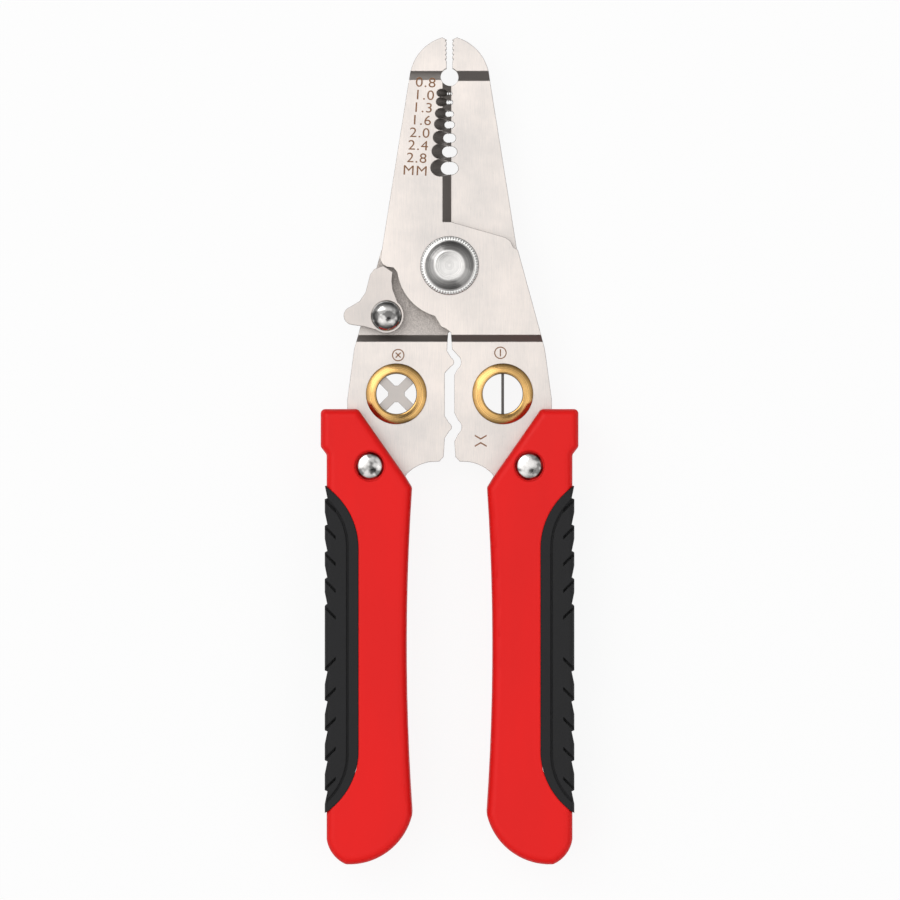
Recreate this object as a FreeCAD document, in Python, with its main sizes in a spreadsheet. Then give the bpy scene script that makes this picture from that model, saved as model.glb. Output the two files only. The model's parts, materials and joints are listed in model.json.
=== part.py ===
# Wire stripper: two crossing stainless plates on one pivot, with a thumb latch,
# a hidden opening spring, two brass-ringed holes and moulded handles.
# Millimetres. X is across the tool, Y runs towards the jaw tips, Z along the pivot.
import FreeCAD, Part
import math
import os
import Sketcher

V = FreeCAD.Vector
doc = FreeCAD.newDocument("wire_stripper")
sheet = doc.addObject("Spreadsheet::Sheet", "sizes")

SIZES = [
    # plates
    ("plate_thick", 2.5), ("plate_gap", 0.04), ("handle_thick", 16.0),
    ("tip_y", 90.0), ("tip_x", 1.6), ("nose_gap", 1.26), ("tip_round", 10.0),
    ("nose_corner_x", 8.7), ("nose_long", 8.5), ("edge_overlap", 0.7),
    ("shoulder_x", 14.9), ("shoulder_y", 43.6), ("hip_x", 20.8), ("hip_y", 22.0),
    ("tang_x", 22.3), ("tang_y", 11.0), ("tang_end_y", -58.0),
    ("tang_end_outer", 17.5), ("tang_end_inner", 13.5),
    ("nose_step", 9.4), ("nose_run", 2.1), ("tang_step_y", 23.6), ("step_run", 1.5),
    # pivot
    ("pivot_y", 40.2), ("pivot_radius", 3.0), ("running_fit", 0.03),
    ("head_radius", 5.55), ("head_flat", 3.2), ("head_rim", 0.4), ("head_rise", 1.1),
    ("collar_radius", 6.4), ("collar_thick", 0.58), ("collar_teeth", 60),
    ("collar_tooth", 0.25), ("nut_radius", 5.4), ("nut_thick", 1.9), ("washer_radius", 6.0),
    ("washer_thick", 0.5), ("bolt_end", 0.4),
    # opening spring between the plates
    ("spring_radius", 5.0), ("spring_wire", 0.35), ("spring_pitch", 0.74),
    ("spring_turns", 2), ("recess_inner", 4.1), ("recess_outer", 6.2),
    ("recess_deep", 1.2), ("leg_deep", 0.8), ("leg_clear", 0.12), ("slot_swing", 28.0),
    # hub
    ("hub_radius", 11.5), ("hub_end_x", 3.2), ("heel_x", 1.85), ("heel_y", 26.9),
    ("toe_x", 0.3), ("toe_y", 25.6), ("ledge_top_x", 15.1), ("ledge_top_y", 41.4),
    ("ledge_mid_x", 13.6), ("ledge_mid_y", 39.9), ("ledge_end_x", 12.2), ("ledge_end_y", 39.7),
    # cutting section
    ("bevel_wide", 2.05), ("bevel_left", 0.4), ("cut_end_y", 49.7), ("nose_hole", 1.95),
    ("nose_hole_in", 8.6), ("tooth_pitch", 1.0), ("tooth_deep", 0.3), ("tooth_in", 4.8),
    ("teeth", 5), ("sink_spread", 0.5), ("sink_lean", 0.65), ("sink_below", 0.95), ("sink_above", 1.7),
    ("shoulder_drop", 3.4), ("shoulder_in", 2.7),
    # crimping edges
    ("crimp_edge", 1.05), ("bump_high_y", 19.2), ("bump_high_half", 2.4), ("bump_high_reach", -0.45),
    ("bump_low_y", 5.0), ("bump_low_half", 2.45), ("bump_low_reach", 0.05), ("bump_round", 0.95),
    ("nest_high_half", 2.85), ("nest_high_reach", 1.8), ("nest_low_half", 3.15),
    ("nest_low_reach", 1.9), ("nest_round", 1.8),
    ("chin_x", 2.2), ("chin_y", -2.5), ("chin_flat", 4.3), ("waist_x", 9.3), ("waist_y", -5.2),
    ("waist_r", 9.0), ("tang_inner_x", 11.0), ("tang_inner_y", -8.0),
    # ringed holes
    ("ring_x", 11.6), ("ring_y", 12.25), ("ring_outer", 6.65), ("ring_inner", 4.35),
    ("ring_seat", 5.25), ("ring_rise", 0.95), ("ring_rim", 0.4), ("ring_crest", 5.95),
    ("insert_thick", 1.2), ("insert_fit", 0.05), ("cross_arm", 2.0), ("cross_hub", 1.85),
    ("split_wide", 0.6),
    # latch
    ("latch_x", 13.76), ("latch_y", 29.27), ("latch_radius", 1.5), ("latch_thick", 1.9),
    ("latch_lift", 0.13), ("latch_dome", 3.4), ("latch_dome_rise", 1.6), ("latch_foot", 2.6),
    ("latch_foot_thick", 0.8), ("latch_washer", 3.5), ("latch_hub", 3.8),
    # handles
    ("flare_top", 8.9), ("flare_x", 28.0), ("flare_low", 0.7), ("side_x", 26.7), ("side_y", -1.0),
    ("cheek_x", 19.9), ("throat_x", 9.9), ("throat_y", -5.4), ("palm_x", 8.2), ("palm_y", -8.2),
    ("bow_r", 515.0), ("tail_x", 8.1), ("tail_y", -79.2),
    ("tail_r", 14.0), ("end_x", 22.5), ("end_y", -90.0), ("end_r", 5.5), ("side_low_y", -84.5),
    ("flare_round", 1.0), ("handle_round", 1.8), ("tang_fit", 0.05),
    ("rivet_x", 17.3), ("rivet_y", -3.5), ("rivet_radius", 1.5), ("rivet_dome", 3.05),
    ("rivet_rise", 0.9), ("rivet_recess", 3.3), ("recess_sink", 1.0),
    # grips
    ("grip_x", 19.8), ("grip_high", -21.0), ("grip_low", -66.0), ("grip_arc", 16.2),
    ("grip_top_y", -7.8), ("grip_end_y", -78.8), ("grip_edge", 27.1), ("grip_round", 1.2),
    ("web_x", 23.4), ("web_thick", 5.0), ("web_high", -22.0), ("web_low", -65.0),
    ("rib_in", 2.4), ("rib_wide", 0.7), ("rib_deep", 1.3), ("step_deep", 0.6), ("step_long", 2.7),
    ("rib_high_y", -12.2), ("rib_high_pitch", 5.8),
    ("rib_low_y", -47.0), ("rib_low_pitch", 6.5), ("ribs", 5),
    ("grip_fit", 0.06), ("line_in", 2.1), ("line_wide", 0.5), ("line_deep", 0.5),
]
# Each stripping notch: its width, then how far it lies behind the jaw tips.
NOTCHES = [(0.8, 12.2), (1.0, 14.1), (1.3, 16.65), (1.6, 19.0), (2.0, 21.9), (2.4, 24.9), (2.8, 28.5)]


def fill_sheet():
    rows = list(SIZES)
    for word, (wide, place) in zip("abcdefg", NOTCHES):
        rows.append(("notch_wide_" + word, wide))
        rows.append(("notch_in_" + word, place))
    for row, (name, value) in enumerate(rows, 1):
        sheet.set("A%d" % row, name)
        sheet.set("B%d" % row, str(value))
        sheet.setAlias("B%d" % row, name)
    doc.recompute()


def full(text):
    """Put the sheet's name before every size named in an expression."""
    out = []
    word = ""
    for letter in text + " ":
        if letter.isalpha() or letter == "_":
            word += letter
            continue
        if word:
            out.append(word if word in ("cos", "sin", "sqrt", "deg") else "sizes." + word)
            word = ""
        out.append(letter)
    return "".join(out).strip()


def number(text):
    """Value of an expression made of size names."""
    found = sheet.evalExpression(full(text))
    return float(getattr(found, "Value", found))


def bind(item, prop, text):
    item.setExpression(prop, full(text))


def new_body(name):
    body = doc.addObject("PartDesign::Body", name)
    body.Label = name
    return body


def new_sketch(body, name, plane, height=None):
    """Sketch on one of the body's own planes, lifted along its normal."""
    sketch = body.newObject("Sketcher::SketchObject", name)
    role = {"XY": "XY_Plane", "YZ": "YZ_Plane", "XZ": "XZ_Plane"}[plane]
    found = [item for item in body.Origin.OriginFeatures if item.Role == role]
    sketch.AttachmentSupport = [(found[0], "")]
    sketch.MapMode = "FlatFace"
    if height:
        bind(sketch, "AttachmentOffset.Base.z", height)
    return sketch


def draw(sketch, corners):
    """Closed outline. Each corner is (x, y) or (x, y, radius, side); with a radius
    the edge leaving it is an arc whose centre lies left (1) or right (-1)."""
    places = [V(number(c[0]), number(c[1]), 0) for c in corners]
    ends = []
    for at, corner in enumerate(corners):
        start = places[at]
        stop = places[(at + 1) % len(corners)]
        if len(corner) == 2:
            edge = sketch.addGeometry(Part.LineSegment(start, stop), False)
            ends.append((edge, 1, 2))
            continue
        radius = number(corner[2])
        chord = stop - start
        across = V(-chord.y, chord.x, 0).normalize() * corner[3]
        reach = math.sqrt(max(radius ** 2 - chord.Length ** 2 / 4, 0))
        centre = (start + stop) * 0.5 + across * reach
        first, last = (start, stop) if corner[3] > 0 else (stop, start)
        low = math.atan2(first.y - centre.y, first.x - centre.x)
        high = math.atan2(last.y - centre.y, last.x - centre.x)
        circle = Part.Circle(centre, V(0, 0, 1), radius)
        edge = sketch.addGeometry(Part.ArcOfCircle(circle, low, high), False)
        ends.append((edge, 1, 2) if corner[3] > 0 else (edge, 2, 1))
    for at, (edge, first, last) in enumerate(ends):
        after = ends[(at + 1) % len(ends)]
        sketch.addConstraint(Sketcher.Constraint("Coincident", edge, last, after[0], after[1]))
    for at, corner in enumerate(corners):
        edge, first, last = ends[at]
        place = places[at]
        for kind, text, value in (("DistanceX", corner[0], place.x), ("DistanceY", corner[1], place.y)):
            rule = sketch.addConstraint(Sketcher.Constraint(kind, -1, 1, edge, first, value))
            bind(sketch, "Constraints[%d]" % rule, text)
        if len(corner) > 2:
            rule = sketch.addConstraint(Sketcher.Constraint("Radius", edge, number(corner[2])))
            bind(sketch, "Constraints[%d]" % rule, corner[2])


def ring(sketch, x, y, radius):
    """Full circle with its centre and radius bound to sizes."""
    centre = V(number(x), number(y), 0)
    edge = sketch.addGeometry(Part.Circle(centre, V(0, 0, 1), number(radius)), False)
    for kind, text, value in (("DistanceX", x, centre.x), ("DistanceY", y, centre.y)):
        rule = sketch.addConstraint(Sketcher.Constraint(kind, -1, 1, edge, 3, value))
        bind(sketch, "Constraints[%d]" % rule, text)
    rule = sketch.addConstraint(Sketcher.Constraint("Radius", edge, number(radius)))
    bind(sketch, "Constraints[%d]" % rule, radius)


def pad(body, sketch, length, middle=False):
    feature = body.newObject("PartDesign::Pad", sketch.Name + "_pad")
    feature.Profile = sketch
    bind(feature, "Length", length)
    if middle:
        feature.SideType = "Symmetric"
    body.Tip = feature
    doc.recompute()
    return feature


def cut(body, sketch, length=None, upward=False, both=False):
    """Pocket below the sketch, above it, or both ways; stops if nothing was cut."""
    before = body.Shape.Volume
    feature = body.newObject("PartDesign::Pocket", sketch.Name + "_cut")
    feature.Profile = sketch
    if both:
        feature.SideType = "Symmetric"
    if length:
        bind(feature, "Length", length)
    else:
        feature.Type = "ThroughAll"
    feature.Reversed = upward
    body.Tip = feature
    doc.recompute()
    if before - body.Shape.Volume < 1e-3:
        raise ValueError(sketch.Name + " cuts nothing")
    return feature


def turn(body, sketch):
    """Revolve a sketch about its own vertical axis."""
    feature = body.newObject("PartDesign::Revolution", sketch.Name + "_turn")
    feature.Profile = sketch
    feature.ReferenceAxis = (sketch, ["V_Axis"])
    feature.Angle = 360
    body.Tip = feature
    doc.recompute()
    return feature


def lathe(name, corners, x="0 * tip_x", y="0 * tip_x", z="0 * tip_x"):
    """Turned piece: corners are (radius, height); then set at its place."""
    body = new_body(name)
    sketch = new_sketch(body, name + "_section", "XZ")
    draw(sketch, corners)
    turn(body, sketch)
    bind(body, "Placement.Base.x", x)
    bind(body, "Placement.Base.y", y)
    bind(body, "Placement.Base.z", z)
    return body


def drill(body, name, x, y, radius):
    sketch = new_sketch(body, name, "XY", "handle_thick / 2")
    ring(sketch, x, y, radius)
    return cut(body, sketch, both=True)


MID = "handle_thick / 2"
TANG_END = "(tang_end_outer - tang_end_inner) / 2 + 0.05"
HUB_Y = "pivot_y - sqrt(hub_radius * hub_radius - %s * %s)"


def hub_edge(side):
    """Ledge, hub arc and heel of a plate, from the jaw side to the crimping side."""
    bend = 1 if side < 0 else -1
    across = "%d * " % side
    ledge_low = "pivot_y - 1.5"
    ledge_x = across + "sqrt(hub_radius * hub_radius - 2.25)"
    return [
        (across + "ledge_top_x", "ledge_top_y"),
        (across + "(ledge_top_x - 0.6)", "ledge_top_y - 1.0"),
        (across + "ledge_mid_x", "ledge_mid_y"),
        (across + "ledge_end_x", "ledge_end_y"),
        (ledge_x, ledge_low, "hub_radius", bend),
        (across + "hub_end_x", HUB_Y % ("hub_end_x", "hub_end_x")),
        (across + "heel_x", "heel_y"),
        (across + "(heel_x - 1.1)", "heel_y - 0.5"),
        (across + "-1 * toe_x", "toe_y"),
    ]


def tang_edge(side, male):
    """Crimping edge, chin and waist, then the tang hidden in the handle."""
    across = "%d * " % side
    turned = side if male else -side
    word = "bump" if male else "nest"
    rows = [(across + "0.45", "tang_step_y")]
    for level in ("high", "low"):
        half = "%s_%s_half" % (word, level)
        place = "bump_%s_y" % level
        edge = "0.55" if level == "high" else "crimp_edge"
        reach = across + "%s_%s_reach" % (word, level)
        step = "%s_round * %s" % (word, "0.9" if male else "0.8")
        rows.append((across + edge, "%s + %s" % (place, half)))
        rows.append((reach, "%s + %s" % (place, step), word + "_round", turned))
        rows.append((reach, "%s - %s" % (place, step)))
        rows.append((across + "crimp_edge", "%s - %s" % (place, half)))
    rows += [
        (across + "(crimp_edge + 0.25)", "chin_y + 1.0"),
        (across + "chin_x", "chin_y"),
        (across + "chin_flat", "chin_y - 0.1", "waist_r", -side),
        (across + "waist_x", "waist_y"),
        (across + "tang_inner_x", "tang_inner_y"),
        (across + "tang_end_inner", "tang_end_y", TANG_END, side),
        (across + "tang_end_outer", "tang_end_y"),
        (across + "(tang_end_outer + 0.8)", "tang_inner_y - 12"),
        (across + "tang_x", "tang_y - 8"),
        (across + "tang_x", "tang_y"),
        (across + "hip_x", "hip_y"),
        (across + "shoulder_x", "shoulder_y"),
    ]
    return rows


def plate_outline(side):
    """Plan of one stamped plate whose jaw is on this side and tang on the other."""
    jaw = "%d * " % side
    other = "%d * " % -side
    rows = [
        (jaw + "nose_gap / 2", "tip_y - 0.5"),
        (jaw + "tip_x", "tip_y", "tip_round", side * -1),
        (jaw + "nose_corner_x", "tip_y - nose_long"),
    ]
    rows += hub_edge(side)
    rows += tang_edge(-side, side > 0)
    rows += [
        (other + "(shoulder_x - 1.0)", "shoulder_y + 0.6"),
        (other + "(shoulder_x - 1.6)", "shoulder_y + 1.9"),
        (other + "(shoulder_x - shoulder_in)", "shoulder_y + 2.7"),
        (other + "edge_overlap / 2", "cut_end_y"),
        (other + "edge_overlap / 2", "tip_y - nose_hole_in"),
        (jaw + "nose_gap / 2", "tip_y - nose_hole_in"),
    ]
    return rows


def joggle(up):
    """Side profile of a plate: middle on one side of the mid plane, ends centred."""
    half = "plate_thick / 2"
    near = "plate_gap / 2"
    sign = "%d * " % up
    low = ["tang_end_y - 10", "tang_step_y", "tang_step_y + step_run",
           "tip_y - nose_step", "tip_y - nose_step + nose_run", "tip_y + 10"]
    face = [sign + "-1 * " + half, sign + "-1 * " + half, sign + near,
            sign + near, sign + "-1 * " + half, sign + "-1 * " + half]
    rows = [(low[at], MID + " + " + face[at]) for at in range(6)]
    rows += [(low[at], MID + " + " + face[at] + " + " + sign + "plate_thick") for at in range(5, -1, -1)]
    return rows


def blade(name, side):
    """Stamped and joggled plate; the jaw is on side, the front plate lies on top."""
    up = -side
    body = new_body(name)
    profile = new_sketch(body, name + "_profile", "YZ")
    draw(profile, joggle(up))
    pad(body, profile, "4 * flare_x", middle=True)
    plan = new_sketch(body, name + "_plan", "XY", MID)
    draw(plan, [("-3 * flare_x", "-2 * tip_y"), ("3 * flare_x", "-2 * tip_y"),
                ("3 * flare_x", "2 * tip_y"), ("-3 * flare_x", "2 * tip_y")])
    draw(plan, plate_outline(side))
    cut(body, plan, both=True)
    fit = " + running_fit" if up > 0 else ""
    drill(body, name + "_bore", "0 * tip_x", "pivot_y", "pivot_radius" + fit)
    drill(body, name + "_nose_hole", "0 * tip_x", "tip_y - nose_hole_in", "nose_hole")
    drill(body, name + "_ring_hole", "%d * ring_x" % up, "ring_y", "ring_seat")
    drill(body, name + "_rivet_hole", "%d * rivet_x" % up, "rivet_y", "rivet_radius")
    recess = new_sketch(body, name + "_recess", "XY", MID + " + %d * recess_deep" % up)
    ring(recess, "0 * tip_x", "pivot_y", "recess_outer")
    ring(recess, "0 * tip_x", "pivot_y", "recess_inner")
    cut(body, recess, "recess_deep + 1", upward=up < 0)
    bevel = new_sketch(body, name + "_bevel", "XZ", "-1 * cut_end_y")
    inner = "%d * edge_overlap / 2" % up
    top = MID + " + %d * (plate_gap / 2 + plate_thick + 0.2)" % up
    past = inner + " + %d * 0.2" % up
    left = MID + " + %d * bevel_left" % up
    start = "%d * (edge_overlap / 2 - bevel_wide)" % up
    draw(bevel, [(past, top), (start, top), (inner, left), (past, left)])
    cut(body, bevel, "tip_y - nose_hole_in - cut_end_y")
    for word in "abcdefg":
        notch(body, name, word, up)
    teeth(body, name, side)
    return body


def notch(body, name, word, up):
    """Stripping notch: sharp at the shear plane, with a countersink that leans off the edge."""
    cone = body.newObject("PartDesign::SubtractiveCone", "%s_notch_%s" % (name, word))
    small = "notch_wide_%s / 2" % word
    slant = "sqrt(1 + sink_lean * sink_lean)"
    slope = "sink_spread / (plate_thick + plate_gap) / %s" % slant
    bind(cone, "Radius1", "%s - %s * sink_below" % (small, slope))
    bind(cone, "Radius2", "%s + sink_spread + %s * sink_above" % (small, slope))
    bind(cone, "Height", "(plate_thick + plate_gap) * %s + sink_below + sink_above" % slant)
    cone.Placement = FreeCAD.Placement(V(), FreeCAD.Rotation(V(0, 1, 0), 45))
    turn = "atan(sizes.sink_lean)"
    cone.setExpression("Placement.Rotation.Angle", turn + " * -1" if up > 0 else "180deg - " + turn)
    bind(cone, "Placement.Base.x", "%d * sink_below * sink_lean / %s" % (up, slant))
    bind(cone, "Placement.Base.y", "tip_y - notch_in_" + word)
    bind(cone, "Placement.Base.z", MID + " - %d * sink_below / %s" % (up, slant))
    before = body.Shape.Volume
    body.Tip = cone
    doc.recompute()
    if body.Shape.Volume > before - 1e-3:
        raise ValueError(cone.Name + " cuts nothing")


def teeth(body, name, side):
    """Fine gripping teeth along the inner edge of the nose."""
    sketch = new_sketch(body, name + "_tooth", "XY", MID)
    edge = "%d * (nose_gap / 2 - 0.1)" % side
    deep = "%d * (nose_gap / 2 + tooth_deep)" % side
    draw(sketch, [(edge, "tip_y - tooth_in - tooth_pitch * 0.4"), (deep, "tip_y - tooth_in"),
                  (edge, "tip_y - tooth_in + tooth_pitch * 0.4")])
    first = cut(body, sketch, both=True)
    row = body.newObject("PartDesign::LinearPattern", name + "_teeth")
    row.Originals = [first]
    row.Direction = (sketch, ["V_Axis"])
    body.Tip = row
    row.Mode = "Spacing"
    bind(row, "Offset", "tooth_pitch")
    bind(row, "Occurrences", "teeth")
    before = body.Shape.Volume
    doc.recompute()
    if body.Shape.Volume > before - 1e-3:
        raise ValueError(name + " teeth cut nothing")


def front_blade():
    body = blade("front_blade", -1)
    slot = new_sketch(body, "front_blade_leg_slot", "XY", MID + " + recess_deep - 0.2")
    inner = "spring_radius - spring_wire - leg_clear"
    outer = "spring_radius + spring_wire + leg_clear"
    spread = ["cos(slot_swing * 1deg)", "sin(slot_swing * 1deg)"]
    lead = ["cos(10deg)", "sin(10deg)"]
    draw(slot, [
        ("(%s) * %s" % (inner, lead[0]), "pivot_y + (%s) * %s" % (inner, lead[1])),
        ("(%s) * %s" % (outer, lead[0]), "pivot_y + (%s) * %s" % (outer, lead[1]), outer, -1),
        ("(%s) * %s" % (outer, spread[0]), "pivot_y - (%s) * %s" % (outer, spread[1])),
        ("(%s) * %s" % (inner, spread[0]), "pivot_y - (%s) * %s" % (inner, spread[1]), inner, 1),
    ])
    cut(body, slot, "leg_deep + 0.4", upward=True)
    return body


def back_blade():
    body = blade("back_blade", 1)
    drill(body, "back_blade_latch_hole", "-1 * latch_x", "latch_y", "latch_radius")
    leg = new_sketch(body, "back_blade_leg_hole", "XY", MID + " - recess_deep + 0.2")
    ring(leg, "spring_radius", "pivot_y", "spring_wire + leg_clear")
    cut(body, leg, "leg_deep + 0.4")
    return body


def pivot_parts():
    top = MID + " + plate_gap / 2 + plate_thick"
    under = MID + " - plate_gap / 2 - plate_thick"
    seat = top + " + 0.02 + collar_thick"
    low = under + " - washer_thick - nut_thick - bolt_end"
    lathe("pivot_bolt", [
        ("0 * tip_x", low), ("pivot_radius - 0.3", low), ("pivot_radius", low + " + 0.3"),
        ("pivot_radius", seat), ("head_radius", seat), ("head_radius", seat + " + head_rim"),
        ("head_flat", seat + " + head_rim + head_rise"), ("0 * tip_x", seat + " + head_rim + head_rise"),
    ], y="pivot_y")
    collar = lathe("pivot_collar", [
        ("pivot_radius", top + " + 0.02"), ("collar_radius", top + " + 0.02"),
        ("collar_radius", seat + " - 0.15"), ("collar_radius - 0.15", seat), ("pivot_radius", seat),
    ], y="pivot_y")
    tooth = new_sketch(collar, "collar_tooth_gap", "XY", MID)
    draw(tooth, [("collar_radius - collar_tooth", "0 * tip_x"),
                 ("collar_radius + 0.1", "-0.8 * collar_tooth"),
                 ("collar_radius + 0.1", "0.8 * collar_tooth")])
    first = cut(collar, tooth, both=True)
    wheel = collar.newObject("PartDesign::PolarPattern", "collar_teeth_round")
    wheel.Originals = [first]
    wheel.Axis = (tooth, ["N_Axis"])
    wheel.Angle = 360
    collar.Tip = wheel
    bind(wheel, "Occurrences", "collar_teeth")
    doc.recompute()
    lathe("pivot_washer", [
        ("pivot_radius", under + " - washer_thick"), ("washer_radius", under + " - washer_thick"),
        ("washer_radius", under), ("pivot_radius", under),
    ], y="pivot_y")
    nut = new_body("pivot_nut")
    plan = new_sketch(nut, "pivot_nut_plan", "XY", under + " - washer_thick - nut_thick")
    corners = []
    for step in range(6):
        angle = 60 * step
        corners.append(("nut_radius * cos(%ddeg)" % angle, "pivot_y + nut_radius * sin(%ddeg)" % angle))
    draw(plan, corners)
    ring(plan, "0 * tip_x", "pivot_y", "pivot_radius")
    pad(nut, plan, "nut_thick")


def opening_spring():
    """Two-turn torsion spring with a leg into each plate."""
    low = MID + " - spring_pitch * spring_turns / 2"
    coil = doc.addObject("Part::Helix", "spring_line")
    bind(coil, "Pitch", "spring_pitch")
    bind(coil, "Height", "spring_pitch * spring_turns")
    bind(coil, "Radius", "spring_radius")
    section = doc.addObject("Part::Circle", "spring_section")
    bind(section, "Radius", "spring_wire")
    bind(section, "Placement.Base.x", "spring_radius")
    section.Placement.Rotation = FreeCAD.Rotation(V(1, 0, 0), 90)
    sweep = doc.addObject("Part::Sweep", "spring_coil")
    sweep.Sections = [section]
    sweep.Spine = (coil, ["Edge1"])
    sweep.Solid = True
    sweep.Frenet = True
    bind(sweep, "Placement.Base.y", "pivot_y")
    bind(sweep, "Placement.Base.z", low)
    pieces = [sweep]
    legs = (("low", low + " - leg_deep - spring_wire - 0.05"),
            ("high", low + " + spring_pitch * spring_turns"))
    for word, base in legs:
        leg = doc.addObject("Part::Cylinder", "spring_leg_" + word)
        bind(leg, "Radius", "spring_wire")
        bind(leg, "Height", "leg_deep + spring_wire + 0.05")
        bind(leg, "Placement.Base.x", "spring_radius")
        bind(leg, "Placement.Base.y", "pivot_y")
        bind(leg, "Placement.Base.z", base)
        knee = doc.addObject("Part::Sphere", "spring_knee_" + word)
        bind(knee, "Radius", "spring_wire")
        bind(knee, "Placement.Base.x", "spring_radius")
        bind(knee, "Placement.Base.y", "pivot_y")
        bind(knee, "Placement.Base.z", low if word == "low" else base)
        pieces += [leg, knee]
    joined = doc.addObject("Part::MultiFuse", "opening_spring")
    joined.Label = "opening_spring"
    joined.Shapes = pieces
    doc.recompute()
    return joined


def ring_set(word, side):
    """Brass rings clamping an insert in the hole of one tang."""
    x = "%d * ring_x" % side
    inner = "insert_thick / 2"
    face = "plate_thick / 2"
    for name, sign in (("front", 1), ("back", -1)):
        rows = [
            ("ring_inner", inner), ("ring_seat - insert_fit", inner), ("ring_seat - insert_fit", face),
            ("ring_outer", face), ("ring_outer", face + " + ring_rim"),
            ("ring_crest + 0.2", face + " + ring_rise"), ("ring_crest - 0.2", face + " + ring_rise"),
            ("ring_inner", face + " + 0.1"),
        ]
        rows = [(x_part, "%d * (%s)" % (sign, z_part)) for x_part, z_part in rows]
        lathe("%s_ring_%s" % (word, name), rows, x, "ring_y", MID)


def insert_plate(name, side):
    body = new_body(name)
    bind(body, "Placement.Base.x", "%d * ring_x" % side)
    bind(body, "Placement.Base.y", "ring_y")
    plan = new_sketch(body, name + "_rim", "XY", MID)
    ring(plan, "0 * tip_x", "0 * tip_x", "ring_seat - insert_fit")
    ring(plan, "0 * tip_x", "0 * tip_x", "ring_inner")
    pad(body, plan, "insert_thick", middle=True)
    return body


def twist_cross():
    body = insert_plate("twist_cross", -1)
    reach = "(ring_inner + 0.4)"
    half = "cross_arm / 2"
    knee = "(cross_arm / 2 + 0.55)"
    plan = new_sketch(body, "twist_cross_arms", "XY", MID)
    corners = []
    for step in range(4):
        swing = 45 + 90 * step
        spots = [(reach, "-1 * " + half), (reach, half), (knee, half)]
        for along, across in spots:
            c = "cos(%ddeg)" % swing
            s = "sin(%ddeg)" % swing
            x = "%s * %s - (%s) * %s" % (along, c, across, s)
            y = "%s * %s + (%s) * %s" % (along, s, across, c)
            corners.append((x, y))
        nxt = swing + 90
        c = "cos(%ddeg)" % nxt
        s = "sin(%ddeg)" % nxt
        corner_x = "%s * %s + %s * %s" % (knee, c, half, s)
        corner_y = "%s * %s - %s * %s" % (knee, s, half, c)
        corners.append((corner_x, corner_y))
    draw(plan, corners)
    pad(body, plan, "insert_thick", middle=True)
    return body


def split_blade():
    body = insert_plate("split_blade", 1)
    plan = new_sketch(body, "split_blade_bar", "XY", MID)
    half = "split_wide / 2"
    reach = "(ring_inner + 0.4)"
    draw(plan, [("-1 * " + half, "-1 * " + reach), (half, "-1 * " + reach),
                (half, reach), ("-1 * " + half, reach)])
    pad(body, plan, "insert_thick", middle=True)
    return body


def latch_parts():
    low = MID + " + plate_thick / 2 + latch_lift"
    body = new_body("latch")
    plan = new_sketch(body, "latch_plan", "XY", low)
    draw(plan, [
        ("-12.4", "38.75"), ("-12.6", "36.9"), ("-12.4", "35.0"),
        ("-1 * latch_x + latch_hub * cos(50deg)", "latch_y + latch_hub * sin(50deg)", "latch_hub", -1),
        ("-1 * latch_x + latch_hub", "latch_y", "latch_hub", -1),
        ("-1 * latch_x - latch_hub * cos(55deg)", "latch_y - latch_hub * sin(55deg)"),
        ("-18.6", "26.9"), ("-21.4", "27.3", "1.98", -1), ("-21.8", "31.1"), ("-19.6", "32.4"),
        ("-18.3", "34.3"), ("-17.3", "38.2"), ("-16.4", "39.4"), ("-14.5", "40.1"), ("-13.6", "39.55"),
    ])
    ring(plan, "-1 * latch_x", "latch_y", "latch_radius + running_fit")
    pad(body, plan, "latch_thick")
    base = MID + " - plate_gap / 2"
    lathe("latch_washer", [
        ("latch_radius", base), ("latch_washer", base), ("latch_washer", low), ("latch_radius", low),
    ], x="-1 * latch_x", y="latch_y")
    seat = low + " + latch_thick + 0.03"
    under = MID + " - plate_gap / 2 - plate_thick"
    ball = "(latch_dome * latch_dome + latch_dome_rise * latch_dome_rise) / (2 * latch_dome_rise)"
    lathe("latch_rivet", [
        ("0 * tip_x", under + " - latch_foot_thick"), ("latch_foot - 0.4", under + " - latch_foot_thick"),
        ("latch_foot", under + " - latch_foot_thick + 0.4"), ("latch_foot", under), ("latch_radius", under),
        ("latch_radius", seat), ("latch_dome", seat), ("latch_dome", seat + " + 0.25", ball, 1),
        ("0 * tip_x", seat + " + 0.25 + latch_dome_rise"),
    ], x="-1 * latch_x", y="latch_y")


def handle_outline(side):
    across = "%d * " % side
    left = side
    return [
        (across + "cheek_x", "flare_top"), (across + "throat_x", "throat_y"),
        (across + "palm_x", "palm_y", "bow_r", -left),
        (across + "tail_x", "tail_y", "tail_r", left), (across + "end_x", "end_y", "end_r + 1.5", left),
        (across + "side_x", "side_low_y"), (across + "side_x", "side_y"), (across + "flare_x", "flare_low"),
        (across + "flare_x", "flare_top"),
    ]


def grip_outline(side, edge, inward="0 * tip_x"):
    """Plan of the grip insert, or the same curve moved outwards."""
    across = "%d * " % side
    bow = "grip_arc - (%s)" % inward
    return [
        (across + edge, "grip_top_y - (%s)" % inward),
        (across + edge, "grip_end_y + %s" % inward, bow, -side),
        (across + "(grip_x + %s)" % inward, "grip_low"),
        (across + "(grip_x + %s)" % inward, "grip_high", bow, -side),
    ]


def round_rims(body, radius, skip=None):
    """Fillet every edge lying in the top and bottom faces."""
    half = number(MID)
    names = []
    for at, edge in enumerate(body.Shape.Edges, 1):
        away = abs(edge.CenterOfMass.z - half)
        if away > half - 0.01 and not (skip and skip(edge)):
            names.append("Edge%d" % at)
    solid = body.Tip
    feature = body.newObject("PartDesign::Fillet", body.Name + "_rim_round")
    feature.Base = (solid, names)
    bind(feature, "Radius", radius)
    body.Tip = feature
    doc.recompute()
    return feature


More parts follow.
